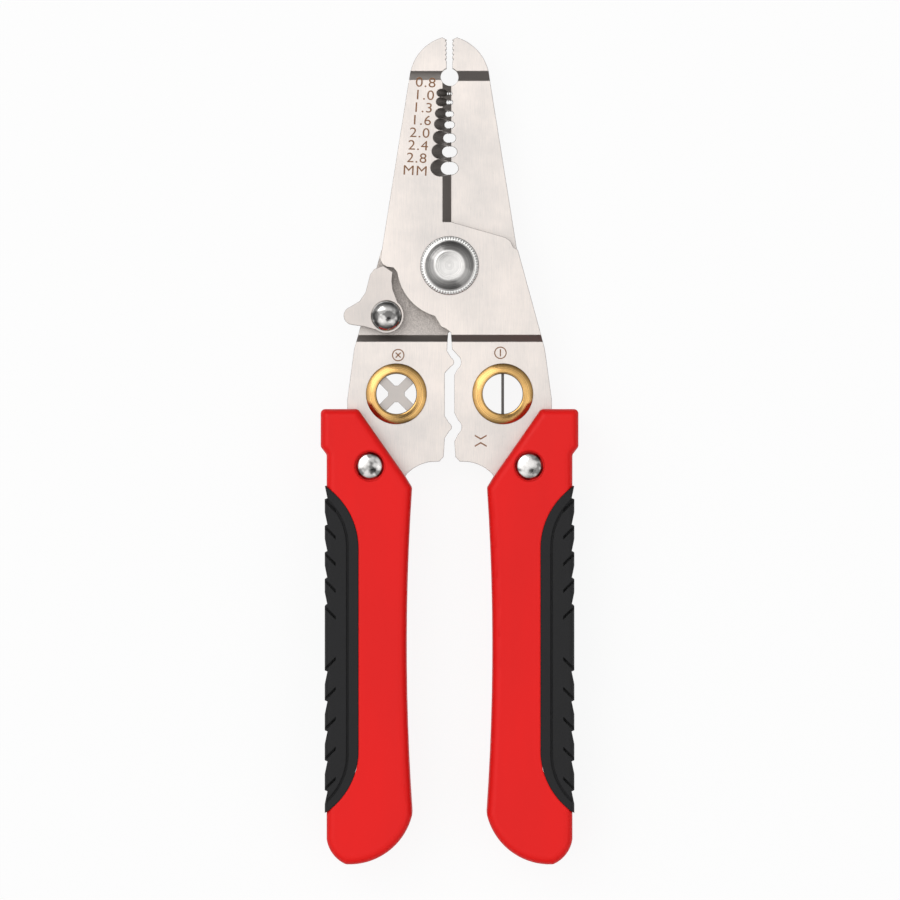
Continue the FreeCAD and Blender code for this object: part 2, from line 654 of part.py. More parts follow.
def round_corners(body, radius):
    """Fillet the upright edges at the corners of the plan."""
    names = []
    for at, edge in enumerate(body.Shape.Edges, 1):
        if edge.BoundBox.ZLength > 1:
            names.append("Edge%d" % at)
    solid = body.Tip
    feature = body.newObject("PartDesign::Fillet", body.Name + "_corner_round")
    feature.Base = (solid, names)
    bind(feature, "Radius", radius)
    body.Tip = feature
    doc.recompute()
    return feature


def handle(word, side):
    across = "%d * " % side
    body = new_body(word + "_handle")
    plan = new_sketch(body, word + "_handle_plan", "XY")
    draw(plan, handle_outline(side))
    pad(body, plan, "handle_thick")
    round_corners(body, "flare_round")
    round_rims(body, "handle_round")
    seats = (("under", MID + " - web_thick / 2", False), ("over", MID + " + web_thick / 2", True))
    far = across + "(flare_x + 1)"
    edge, end, low, high = grip_outline(side, "grip_edge", "(0 - grip_fit)")
    for name, height, up in seats:
        seat = new_sketch(body, "%s_handle_seat_%s" % (word, name), "XY", height)
        draw(seat, [(far, edge[1]), (far, end[1]), end, low, high, edge])
        cut(body, seat, upward=up)
    trim = new_sketch(body, word + "_handle_web_trim", "XY", MID)
    draw(trim, [(far, edge[1]), (far, end[1]), end, low, (low[0], "web_low"),
                (across + "web_x", "web_low"), (across + "web_x", "web_high"),
                (low[0], "web_high"), high, edge])
    cut(body, trim, both=True)
    slot = new_sketch(body, word + "_handle_tang_slot", "XY", MID)
    draw(slot, [
        (across + "(tang_x + tang_fit)", "flare_top + 2"), (across + "(tang_x + tang_fit)", "tang_y - 8"),
        (across + "(tang_end_outer + 0.8 + tang_fit)", "tang_inner_y - 12"),
        (across + "(tang_end_outer + tang_fit)", "tang_end_y - 2.2"),
        (across + "(tang_end_inner - tang_fit)", "tang_end_y - 2.2"),
        (across + "(tang_inner_x - tang_fit)", "tang_inner_y"),
        (across + "(waist_x - 2)", "waist_y + 1"), (across + "(waist_x - 2)", "flare_top + 2"),
    ])
    cut(body, slot, "plate_thick", both=True)
    drill(body, word + "_handle_rivet_hole", across + "rivet_x", "rivet_y", "rivet_radius")
    wells = (("under", "recess_sink", False), ("over", "handle_thick - recess_sink", True))
    for name, height, up in wells:
        well = new_sketch(body, "%s_handle_well_%s" % (word, name), "XY", height)
        ring(well, across + "rivet_x", "rivet_y", "rivet_recess")
        cut(body, well, upward=up)
    return body


def grip(word, side):
    across = "%d * " % side
    body = new_body(word + "_grip")
    plan = new_sketch(body, word + "_grip_plan", "XY")
    draw(plan, grip_outline(side, "grip_edge"))
    pad(body, plan, "handle_thick")
    limit = number("grip_edge") - 0.5
    round_rims(body, "grip_round", skip=lambda edge: abs(edge.CenterOfMass.x) < limit)
    web = new_sketch(body, word + "_grip_web_slot", "XY", MID)
    draw(web, [(across + "(grip_x - 1)", "web_high"), (across + "web_x", "web_high"),
               (across + "web_x", "web_low"), (across + "(grip_x - 1)", "web_low")])
    cut(body, web, "web_thick", both=True)
    ribs(body, word + "_grip_rib_high", side, "rib_high_y", "rib_high_pitch", -1)
    ribs(body, word + "_grip_rib_low", side, "rib_low_y", "rib_low_pitch", 1)
    for name, height, up in (("under", "line_deep", False), ("over", "handle_thick - line_deep", True)):
        line = new_sketch(body, "%s_grip_line_%s" % (word, name), "XY", height)
        draw(line, line_outline(side))
        cut(body, line, upward=up)
    return body


def line_outline(side):
    """Narrow groove that follows the grip's inner boundary."""
    across = "%d * " % side
    edge = across + "(grip_edge - 0.6)"
    reach = "(grip_x + grip_arc - grip_edge + 0.6)"
    bows = []
    spans = []
    walls = []
    for inward in ("line_in", "(line_in + line_wide)"):
        bow = "(grip_arc - %s)" % inward
        bows.append(bow)
        spans.append("sqrt(%s * %s - %s * %s)" % (bow, bow, reach, reach))
        walls.append(across + "(grip_x + %s)" % inward)
    return [
        (edge, "grip_high + " + spans[0], bows[0], side), (walls[0], "grip_high"),
        (walls[0], "grip_low", bows[0], side), (edge, "grip_low - " + spans[0]),
        (edge, "grip_low - " + spans[1], bows[1], -side), (walls[1], "grip_low"),
        (walls[1], "grip_high", bows[1], -side), (edge, "grip_high + " + spans[1]),
    ]


def ribs(body, name, side, start, pitch, lean):
    """Row of slanting notches in both faces, each with a ratchet step in the outer edge."""
    across = "%d * " % side
    outer = across + "(grip_edge + 0.4)"
    deep = across + "(grip_edge - rib_in)"
    run = "%d * (rib_in + 0.4)" % lean
    mouth = "%s - %s / 2" % (start, run)
    slot = [(outer, mouth), (outer, mouth + " + rib_wide"),
            (deep, "%s + %s / 2 + rib_wide" % (start, run)), (deep, "%s + %s / 2" % (start, run))]
    near = mouth + (" + rib_wide" if lean > 0 else "")
    far = mouth + (" - step_long" if lean > 0 else " + rib_wide + step_long")
    step = [(outer, near), (across + "(grip_edge - step_deep)", mouth + " + rib_wide / 2"),
            (across + "(grip_edge + 0.05)", far), (outer, far)]
    rows = ((name + "_over", slot, "handle_thick - rib_deep", True),
            (name + "_under", slot, "rib_deep", False), (name + "_step", step, MID, None))
    for label, corners, height, upward in rows:
        sketch = new_sketch(body, label, "XY", height)
        draw(sketch, corners)
        first = cut(body, sketch, upward=bool(upward), both=upward is None)
        repeat(body, sketch, first, pitch)


def repeat(body, sketch, first, pitch):
    """Repeat a cut down the length of the grip."""
    row = body.newObject("PartDesign::LinearPattern", sketch.Name + "_row")
    row.Originals = [first]
    row.Direction = (sketch, ["V_Axis"])
    row.Reversed = True
    row.Mode = "Spacing"
    body.Tip = row
    bind(row, "Offset", pitch)
    bind(row, "Occurrences", "ribs")
    before = body.Shape.Volume
    doc.recompute()
    if body.Shape.Volume > before - 1e-3:
        raise ValueError(sketch.Name + " cuts nothing")


def handle_rivet(word, side):
    """Rivet with a dome at each end, sunk in the handle's wells."""
    base = "handle_thick / 2 - recess_sink"
    ball = "(rivet_dome * rivet_dome + rivet_rise * rivet_rise) / (2 * rivet_rise)"
    lathe(word + "_handle_rivet", [
        ("0 * tip_x", "-1 * (%s + rivet_rise)" % base, ball, 1), ("rivet_dome", "-1 * (%s)" % base),
        ("rivet_radius", "-1 * (%s)" % base), ("rivet_radius", base),
        ("rivet_dome", base, ball, 1), ("0 * tip_x", "%s + rivet_rise" % base),
    ], "%d * rivet_x" % side, "rivet_y", MID)


NODES = ["front_blade", "back_blade", "pivot_bolt", "pivot_collar", "pivot_washer", "pivot_nut",
         "opening_spring", "twist_ring_front", "twist_ring_back", "twist_cross", "split_ring_front",
         "split_ring_back", "split_blade", "latch", "latch_washer", "latch_rivet", "left_handle",
         "right_handle", "left_grip", "right_grip", "left_handle_rivet", "right_handle_rivet"]


def write_parts():
    doc.recompute()
    bad = [item.Name for item in doc.Objects if "Invalid" in item.State or "Error" in item.State]
    if bad:
        raise ValueError("broken features: " + ", ".join(bad))
    os.makedirs("parts", exist_ok=True)
    for name in NODES:
        shape = doc.getObjectsByLabel(name)[0].Shape
        if shape.isNull() or not shape.isValid() or len(shape.Solids) != 1:
            raise ValueError(name + " is not one sound solid")
        shape.exportStep("parts/" + name + ".step")


fill_sheet()
front_blade()
back_blade()
pivot_parts()
opening_spring()
ring_set("twist", -1)
ring_set("split", 1)
twist_cross()
split_blade()
latch_parts()
for hand, way in (("left", -1), ("right", 1)):
    handle(hand, way)
    grip(hand, way)
    handle_rivet(hand, way)
write_parts()
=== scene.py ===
"""Looks of a wire stripper: steel, brass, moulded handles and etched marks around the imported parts."""
import json
import math

import bpy
import numpy as np
from mathutils import Matrix, Vector


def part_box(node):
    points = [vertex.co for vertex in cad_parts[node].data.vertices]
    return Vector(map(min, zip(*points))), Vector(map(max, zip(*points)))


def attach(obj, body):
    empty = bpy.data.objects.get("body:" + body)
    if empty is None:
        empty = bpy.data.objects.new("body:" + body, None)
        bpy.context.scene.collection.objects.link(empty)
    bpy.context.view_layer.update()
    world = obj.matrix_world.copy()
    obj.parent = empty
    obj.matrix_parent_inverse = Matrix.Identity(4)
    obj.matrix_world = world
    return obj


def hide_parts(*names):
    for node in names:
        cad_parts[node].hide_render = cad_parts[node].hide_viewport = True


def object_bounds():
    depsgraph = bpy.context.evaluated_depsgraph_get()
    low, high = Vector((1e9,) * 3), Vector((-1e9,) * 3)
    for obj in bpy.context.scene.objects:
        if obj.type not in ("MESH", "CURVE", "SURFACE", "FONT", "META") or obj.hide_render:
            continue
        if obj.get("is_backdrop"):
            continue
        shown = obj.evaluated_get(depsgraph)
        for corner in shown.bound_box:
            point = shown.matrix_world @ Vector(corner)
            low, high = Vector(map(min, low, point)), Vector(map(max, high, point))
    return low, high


bl_info = {
    "name": "Wire Stripper Builder",
    "version": (1, 0, 0),
    "blender": (4, 5, 0),
    "location": "View3D > Sidebar > Stripper",
    "description": "Builds the surfaces and finishes of a wire stripper around its packed parts",
    "category": "Object",
}

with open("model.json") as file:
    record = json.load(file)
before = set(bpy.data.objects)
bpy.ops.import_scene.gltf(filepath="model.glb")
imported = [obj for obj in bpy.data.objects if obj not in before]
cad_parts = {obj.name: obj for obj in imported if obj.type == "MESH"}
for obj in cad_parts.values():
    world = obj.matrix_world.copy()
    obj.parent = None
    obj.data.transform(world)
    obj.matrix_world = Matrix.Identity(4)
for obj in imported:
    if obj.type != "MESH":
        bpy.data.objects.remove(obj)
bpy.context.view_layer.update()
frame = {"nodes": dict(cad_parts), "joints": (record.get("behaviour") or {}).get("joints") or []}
MM = 0.001
BACK, FRONT = "back_half", "front_half"
PIVOT = Vector(next(joint["pos_m"] for joint in frame["joints"] if joint["name"] == "main_pivot"))


# ---------------------------------------------------------------- mesh helpers

def mesh_object(name, points, faces, body, material, smooth_angle):
    """Put arrays of points (metres) and faces in a mesh that rides on a body."""
    mesh = bpy.data.meshes.new(name)
    mesh.from_pydata(points, [], faces)
    mesh.update()
    item = bpy.data.objects.new(name, mesh)
    bpy.context.scene.collection.objects.link(item)
    mesh.shade_smooth()
    mesh.set_sharp_from_angle(angle=math.radians(smooth_angle))
    mesh.materials.append(material)
    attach(item, body)
    return item


def grid_faces(rows, columns, wrap_rows):
    """Quads of a grid stored row after row; its columns close into a ring, and its rows too if asked."""
    row, column = np.meshgrid(np.arange(rows if wrap_rows else rows - 1), np.arange(columns), indexing="ij")
    next_row = (row + 1) % rows
    next_column = (column + 1) % columns
    corners = [row * columns + column, row * columns + next_column,
               next_row * columns + next_column, next_row * columns + column]
    return np.stack(corners, -1).reshape(-1, 4).tolist()


def reach(node):
    """A part's radius about its own upright axis, its foot and its top, in mm."""
    low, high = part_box(node)
    return (high.x - low.x) / 2 / MM, low.z / MM, high.z / MM


def axis_of(node):
    """The point on the floor under a part's middle."""
    low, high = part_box(node)
    return Vector(((low.x + high.x) / 2, (low.y + high.y) / 2, 0))


def bowed(start, stop, bulge, count):
    """Points start + t (stop - start) + 4 t (1 - t) bulge right, for t from 0 to 1."""
    start, stop = np.array(start, float), np.array(stop, float)
    chord = stop - start
    right = np.array([chord[1], -chord[0]]) / np.hypot(*chord)
    t = np.linspace(0, 1, count)[:, None]
    return [tuple(p) for p in start + t * chord + 4 * t * (1 - t) * bulge * right]


def turned(name, profile, centre, body, material, segments, smooth_angle, closed=False):
    """Surface of revolution: point (u, v) is the profile's point v turned by angle u about Z.
    An open profile starts and ends on the axis; a closed one is a ring's section."""
    profile = np.array(profile, float) * MM
    angle = np.linspace(0, 2 * math.pi, segments, endpoint=False)
    rows = profile if closed else profile[1:-1]
    x = rows[:, :1] * np.cos(angle)
    y = rows[:, :1] * np.sin(angle)
    z = np.repeat(rows[:, 1:], segments, 1)
    points = np.stack([x, y, z], -1).reshape(-1, 3)
    faces = grid_faces(len(rows), segments, closed)
    if not closed:
        low, high = len(points), len(points) + 1
        points = np.vstack([points, [0, 0, profile[0, 1]], [0, 0, profile[-1, 1]]])
        last = (len(rows) - 1) * segments
        ring = np.arange(segments)
        following = (ring + 1) % segments
        faces += np.stack([np.full(segments, low), following, ring], 1).tolist()
        faces += np.stack([np.full(segments, high), last + ring, last + following], 1).tolist()
    return mesh_object(name, points + np.array(centre), faces, body, material, smooth_angle)


def prism(name, outlines, low, high, body, material):
    """Flat closed pieces: each outline's corners (x, y) at the low height, then again at the high one."""
    points, faces, start = [], [], 0
    for outline in outlines:
        count = len(outline)
        points += [np.c_[outline, np.full(count, low)], np.c_[outline, np.full(count, high)]]
        corner = start + np.arange(count)
        following = start + (np.arange(count) + 1) % count
        faces += [corner[::-1].tolist(), (corner + count).tolist()]
        faces += np.stack([corner, following, following + count, corner + count], 1).tolist()
        start += 2 * count
    return mesh_object(name, np.vstack(points) * MM, faces, body, material, 20)


def spin(points, degrees):
    """Points turned about the origin."""
    c, s = math.cos(math.radians(degrees)), math.sin(math.radians(degrees))
    return points @ np.array([[c, s], [-s, c]])


# ---------------------------------------------------------------- materials

class Wiring:
    """Short words for joining nodes in a material or a world."""

    def __init__(self, tree):
        self.tree = tree

    def node(self, kind, **values):
        made = self.tree.nodes.new(kind)
        for key, value in values.items():
            setattr(made, key, value)
        return made

    def link(self, source, socket):
        self.tree.links.new(source, socket)

    def fill(self, socket, value):
        """Give a socket a number, a colour or another node's output."""
        if isinstance(value, (int, float)):
            socket.default_value = value
        elif isinstance(value, tuple):
            socket.default_value = (*value, 1)
        else:
            self.link(value, socket)

    def ramp(self, value, stops):
        """Colour read from stops of (place, colour)."""
        made = self.node("ShaderNodeValToRGB")
        elements = made.color_ramp.elements
        while len(elements) < len(stops):
            elements.new(0.5)
        for element, (at, colour) in zip(elements, stops):
            element.position = at
            element.color = (*colour, 1)
        self.link(value, made.inputs["Fac"])
        return made.outputs["Color"]

    def greys(self, value, stops):
        """Grey read from stops of (place, brightness)."""
        return self.ramp(value, [(at, (grey, grey, grey)) for at, grey in stops])

    def span(self, value, low, high, start=0.0, stop=1.0, kind="LINEAR"):
        """Carry value from start..stop over to low..high."""
        made = self.node("ShaderNodeMapRange", interpolation_type=kind)
        for key, amount in (("From Min", start), ("From Max", stop), ("To Min", low), ("To Max", high)):
            made.inputs[key].default_value = amount
        self.link(value, made.inputs["Value"])
        return made.outputs["Result"]

    def maths(self, kind, a, b):
        made = self.node("ShaderNodeMath", operation=kind)
        self.fill(made.inputs[0], a)
        self.fill(made.inputs[1], b)
        return made.outputs[0]

    def blend(self, share, first, second, output):
        """Show the second shader over the first by a share, in the named output."""
        made = self.node("ShaderNodeMixShader")
        for socket, source in zip(made.inputs, (share, first, second)):
            self.link(source, socket)
        self.link(made.outputs[0], self.tree.nodes[output].inputs["Surface"])


class Graph(Wiring):
    """A material whose patterns read the place on the object."""

    def __init__(self, name):
        self.material = bpy.data.materials.new(name)
        self.material.use_nodes = True
        super().__init__(self.material.node_tree)
        self.shader = self.tree.nodes["Principled BSDF"]
        self.place = self.node("ShaderNodeTexCoord").outputs["Object"]

    def set(self, **values):
        """Plain values on the shader's own sockets; an underscore stands for a space."""
        for key, value in values.items():
            self.fill(self.shader.inputs[key.replace("_", " ")], value)

    def mapped(self, scale=(1, 1, 1), turn=0.0, centre=(0, 0, 0)):
        """The place seen from a centre, then scaled and turned about Z."""
        move = self.node("ShaderNodeMapping", vector_type="POINT")
        move.inputs["Location"].default_value = tuple(-c for c in centre)
        self.link(self.place, move.inputs["Vector"])
        bend = self.node("ShaderNodeMapping", vector_type="POINT")
        bend.inputs["Rotation"].default_value = (0, 0, turn)
        bend.inputs["Scale"].default_value = scale
        self.link(move.outputs[0], bend.inputs["Vector"])
        return bend.outputs[0]

    def along(self):
        """The place's Y, from the handles up to the tip."""
        parts = self.node("ShaderNodeSeparateXYZ")
        self.link(self.place, parts.inputs[0])
        return parts.outputs["Y"]

    def distance(self, centre):
        """Distance in metres from an upright axis through centre."""
        length = self.node("ShaderNodeVectorMath", operation="LENGTH")
        self.link(self.mapped((1, 1, 0), 0, centre), length.inputs[0])
        return length.outputs["Value"]

    def noise(self, vector, scale, detail=3.0, rough=0.55):
        made = self.node("ShaderNodeTexNoise")
        made.inputs["Scale"].default_value = scale
        made.inputs["Detail"].default_value = detail
        made.inputs["Roughness"].default_value = rough
        self.link(vector, made.inputs["Vector"])
        return made.outputs["Fac"]

    def weighed(self, a, share, b):
        """share of a and the rest of b."""
        return self.maths("ADD", self.maths("MULTIPLY", a, share), self.maths("MULTIPLY", b, 1 - share))

    def mix(self, factor, a, b):
        """Colour a turned into b by a factor."""
        made = self.node("ShaderNodeMix", data_type="RGBA", blend_type="MIX")
        for key, value in (("Factor", factor), ("A", a), ("B", b)):
            self.fill(next(s for s in made.inputs if s.name == key and s.enabled), value)
        return next(s for s in made.outputs if s.enabled)

    def bump(self, height, strength, distance, before=None):
        made = self.node("ShaderNodeBump")
        made.inputs["Strength"].default_value = strength
        made.inputs["Distance"].default_value = distance
        self.link(height, made.inputs["Height"])
        if before is not None:
            self.link(before, made.inputs["Normal"])
        return made.outputs["Normal"]

    def tilt(self, stops, normal=None):
        """Grey read from how level the surface is: 0 for an upright wall, 1 for a flat face."""
        if normal is None:
            normal = self.node("ShaderNodeNewGeometry").outputs["Normal"]
        facing = self.node("ShaderNodeSeparateXYZ")
        self.link(normal, facing.inputs[0])
        return self.greys(self.maths("ABSOLUTE", facing.outputs["Z"], 0.0), stops)

    def soft_edge(self, radius):
        """Normal rolled over sharp edges, as a stamping die leaves them."""
        roll = self.node("ShaderNodeBevel", samples=6)
        roll.inputs["Radius"].default_value = radius
        return roll.outputs["Normal"]

    def finish(self, colour, rough, normal=None):
        """Wire the three results into the shader."""
        for key, value in (("Base Color", colour), ("Roughness", rough), ("Normal", normal)):
            if value is not None:
                self.link(value, self.shader.inputs[key])
        return self.material


def shade(colour, share):
    """The colour made darker or lighter."""
    return tuple(min(c * share, 1.0) for c in colour)


# Painted shade on steel by how level it lies: cut walls half, ground slopes full, flat faces not at all.
STEEL_TILT_SHADE = ((0.0, 0.5), (0.2, 0.5), (0.35, 1.0), (0.93, 1.0), (0.992, 0.0))

# The grit-blast seat that the latch slides on, with painted shade from the front plate near the hub: how
# far from the pivot it fades, and where it starts and stops along Y.
SEAT_SHADE_REACH = (0.012, 0.026)
SEAT_START = (0.0246, 0.0252)
SEAT_STOP = (0.0415, 0.0420)

# The span along Y over which painted shade comes back up the bend at the nose, from its foot up.
NOSE_BEND_SHADE = (0.0805, 0.0824)


def grit_and_shade_on_seat(g, colour, paint, dull):
    """Grit and painted shade on the seat, and more roughness: full near the hub and a quarter at its far
    end.
    """
    along = g.along()
    # Painted shade from the front plate, with the grit: full near the hub, fading with distance from the
    # pivot.
    seat = g.span(g.distance(PIVOT), 1.0, 0.25, *SEAT_SHADE_REACH)
    seat = g.maths("MULTIPLY", seat, g.span(along, 0.0, 1.0, *SEAT_START))
    seat = g.maths("MULTIPLY", seat, g.span(along, 1.0, 0.0, *SEAT_STOP))
    grit = g.noise(g.mapped(), 5200.0, 2.0)
    grit_and_shade = g.ramp(grit, [(0.35, shade(colour, 0.42)), (0.65, shade(colour, 0.72))])
    return g.mix(seat, paint, grit_and_shade), g.maths("ADD", dull, g.maths("MULTIPLY", seat, 0.15))


def shade_up_nose_bend(g, tilt_shade):
    """Take the painted shade of a ground slope away at the foot of the nose bend, and bring it back up the
    bend.
    """
    along = g.along()
    low = NOSE_BEND_SHADE[0]
    inside = g.span(along, 0.0, 1.0, *NOSE_BEND_SHADE)
    below = g.span(along, 1.0, 0.0, low - 0.0005, low - 0.0004)
    return g.maths("MULTIPLY", tilt_shade, g.maths("MAXIMUM", inside, below))


def brushed_steel(name, colour, rough=0.34, turn=0.0, grain=1.0, cloud=0.08, roll=0.0,
                  seat=False, bend=False):
    """Fine scratches along one way over soft clouds; ground slopes and cut walls get painted shade and more
    roughness.
    turn is the scratches' angle, grain their depth, cloud how much the tone wanders, roll the radius of the
    die-rolled edges; seat asks for the grit and painted shade of the seat, bend for painted shade up the
    nose bend."""
    g = Graph(name)
    g.set(Metallic=1.0)
    lines = g.noise(g.mapped((9000, 260, 3000), turn), 1.0, 2.0)
    fine = g.noise(g.mapped((22000, 900, 9000), turn), 1.0, 2.0)
    clouds = g.noise(g.mapped(), 60.0, 5.0, 0.6)
    scratches = g.weighed(lines, 0.6, fine)
    darker = shade(colour, 1 - cloud * 2.6)
    grey = sum(colour) / 3
    cool = tuple(0.3 * grey + 0.7 * channel for channel in darker)
    paint = g.ramp(g.weighed(scratches, 0.4, clouds), [(0.38, cool), (0.62, shade(colour, 1 + cloud))])
    dull = g.span(scratches, rough - 0.07, rough + 0.1, 0.3, 0.7)
    if seat:
        paint, dull = grit_and_shade_on_seat(g, colour, paint, dull)
    edge = g.soft_edge(roll) if roll else None
    # Painted shade by tilt, on cut walls, ground slopes and the die-rolled edges.
    tilt_shade = g.tilt(STEEL_TILT_SHADE, edge)
    if bend:
        tilt_shade = shade_up_nose_bend(g, tilt_shade)
    paint = g.mix(tilt_shade, paint, shade(colour, 0.30))
    dull = g.maths("ADD", dull, g.maths("MULTIPLY", tilt_shade, 0.2))
    return g.finish(paint, dull, g.bump(scratches, 0.3 * grain, 0.00002, edge))


# Painted shade on turned metal by how level it lies: only its steep walls get it.
TURNED_TILT_SHADE = ((0.0, 0.75), (0.5, 0.75), (0.75, 0.0))


def turned_metal(name, colour, centre, rough, ring_depth, wall_shade=TURNED_TILT_SHADE):
    """Fine lathe rings about a centre, over faint smears; the last argument says how much painted shade a
    surface gets by its tilt.
    """
    g = Graph(name)
    g.set(Metallic=1.0)
    rings = g.node("ShaderNodeTexNoise", noise_dimensions="1D")
    rings.inputs["Scale"].default_value = 6000
    rings.inputs["Detail"].default_value = 2
    g.link(g.distance(centre), rings.inputs["W"])
    lathe = rings.outputs["Fac"]
    tone = g.weighed(lathe, 0.7, g.noise(g.mapped(), 400.0))
    paint = g.ramp(tone, [(0.36, shade(colour, 1 - ring_depth)), (0.64, shade(colour, 1.05))])
    # Painted shade on steep walls.
    paint = g.mix(g.tilt(wall_shade), paint, shade(colour, 0.2))
    return g.finish(paint, g.span(tone, rough - 0.05, rough + 0.1, 0.3, 0.7), g.bump(lathe, 0.4, 0.00003))


def polished_metal(name, colour):
    """Bright metal with faint smears in its roughness, painted reflections as dark and bright patches, and
    tiny dents.
    """
    g = Graph(name)
    g.set(Metallic=1.0)
    smear_and_reflection = g.noise(g.mapped(), 330.0, 2.0)
    dents = g.noise(g.mapped(), 900.0, 2.0)
    # Painted reflection: dark patches down to a fifth of the colour.
    paint = g.ramp(smear_and_reflection, [(0.40, shade(colour, 0.22)), (0.50, shade(colour, 0.8)), (0.62, colour)])
    return g.finish(paint, g.span(smear_and_reflection, 0.07, 0.18, 0.3, 0.7), g.bump(dents, 0.3, 0.0001))


def moulded_plastic(name, colour):
    """Satin plastic: fine moulded texture, faint flow clouds, and painted shade on its steep sides."""
    g = Graph(name)
    g.set(IOR=1.46, Specular_IOR_Level=0.22)
    flow = g.noise(g.mapped((1, 0.3, 1)), 75.0, 3.0)
    skin = g.noise(g.mapped(), 5200.0, 3.0)
    paint = g.ramp(flow, [(0.25, shade(colour, 0.9)), (0.75, colour)])
    # Painted shade on the steep sides.
    side_shade = g.tilt(((0.0, 0.55), (0.55, 0.4), (0.97, 0.0)))
    paint = g.mix(side_shade, paint, shade(colour, 0.72))
    dull = g.span(flow, 0.36, 0.5, 0.3, 0.7)
    return g.finish(paint, dull, g.bump(skin, 0.12, 0.00004, g.soft_edge(0.0006)))


def soft_rubber(name, colour):
    """Matt rubber with a fine spark-eroded texture."""
    g = Graph(name)
    g.set(IOR=1.45, Specular_IOR_Level=0.3, Sheen_Weight=0.05, Sheen_Roughness=0.5)
    skin = g.noise(g.mapped(), 3800.0, 4.0)
    wide = g.noise(g.mapped(), 240.0, 3.0)
    paint = g.ramp(wide, [(0.3, shade(colour, 0.75)), (0.7, shade(colour, 1.25))])
    rough = g.span(wide, 0.5, 0.66, 0.3, 0.7)
    return g.finish(paint, rough, g.bump(skin, 0.25, 0.00005, g.soft_edge(0.0003)))


def etched(name, colour):
    """Brown tint of a laser mark, patchy like the real burn."""
    g = Graph(name)
    g.set(Metallic=0.2, Specular_IOR_Level=0.2)
    burn = g.noise(g.mapped(), 2400.0, 4.0)
    paint = g.ramp(burn, [(0.3, shade(colour, 0.75)), (0.7, shade(colour, 1.25))])
    return g.finish(paint, g.span(burn, 0.5, 0.7, 0.3, 0.7))


# ---------------------------------------------------------------- settings

def colour_prop(name, description, default):
    """A colour setting."""
    return bpy.props.FloatVectorProperty(
        name=name, description=description, default=default, size=3, min=0, max=1, subtype="COLOR")


class StripperFinish(bpy.types.PropertyGroup):
    """Colours a user may change."""

    steel: colour_prop("Plate steel", "Brushed stainless of the two plates", (0.75, 0.685, 0.64))
    dark_steel: colour_prop("Latch steel", "Duller steel of the latch", (0.66, 0.60, 0.56))
    bright_steel: colour_prop("Bright steel", "Turned and polished steel", (0.85, 0.83, 0.81))
    brass: colour_prop("Brass", "The rings round the two work holes", (0.78, 0.47, 0.17))
    red: colour_prop("Handle red", "Moulded handles", (0.90, 0.010, 0.009))
    black: colour_prop("Grip black", "Rubber grip inserts", (0.012, 0.012, 0.013))
    mark: colour_prop("Etch brown", "Etched size marks", (0.27, 0.14, 0.075))


class StripperStage(bpy.types.PropertyGroup):
    """Camera and light a user may change."""

    height: bpy.props.FloatProperty(
        name="Camera height", description="Camera above the floor",
        default=1.2, min=0.3, unit="LENGTH")
    view_wide: bpy.props.FloatProperty(
        name="Width in view", description="Width seen at the plates",
        default=0.1962, min=0.02, unit="LENGTH")
    world_light: bpy.props.FloatProperty(
        name="Room light", description="Strength of the room light", default=1.15, min=0)
    key_light: bpy.props.FloatProperty(
        name="Key light", description="Power of the large soft lamp",
        default=2.2, min=0, unit="POWER")


def finish_of(context):
    """The colours as the user set them."""
    return context.scene.stripper_finish


# ---------------------------------------------------------------- operators

def dress(node, material):
    """Give a carried-over part its finish."""
    slots = frame["nodes"][node].data.materials
    slots.clear()
    slots.append(material)


class STRIPPER_OT_metal(bpy.types.Operator):
    """Finish the plates, latch and small steel parts"""

    bl_idname = "stripper.metal"
    bl_label = "Steel parts"

    def execute(self, context):
        finish = finish_of(context)
        steel = tuple(finish.steel)
        dark = tuple(finish.dark_steel)
        dress("front_blade", brushed_steel("plate_steel", steel, roll=0.00022, bend=True))
        dress("back_blade", brushed_steel("shaded_seat_steel", steel, roll=0.00022, seat=True))
        dress("latch", brushed_steel("latch_steel", dark, 0.36, 0.7, 0.8, 0.07, 0.0002))
        plain = brushed_steel("plain_steel", shade(steel, 0.70), 0.38, 0.9, 0.7, 0.05, 0.00015)
        for node in ("pivot_washer", "pivot_nut", "latch_washer", "twist_cross"):
            dress(node, plain)
        # Painted shade: the split blade's knife edge is painted at a seventh of the plates' brightness.
        dress("split_blade", brushed_steel("split_shaded_steel", shade(steel, 0.14), 0.3))
        dress("opening_spring", brushed_steel("spring_steel", (0.3, 0.3, 0.32), 0.3, 0, 0.5))
        return {"FINISHED"}


def dome(radius, low, high):
    """Oval from the rim up to the axis: (radius cos a, low + rise sin(a) to the power 1.3)."""
    angle = np.linspace(0, math.pi / 2, 14)
    return list(zip(radius * np.cos(angle), low + (high - low) * np.sin(angle) ** 1.3))


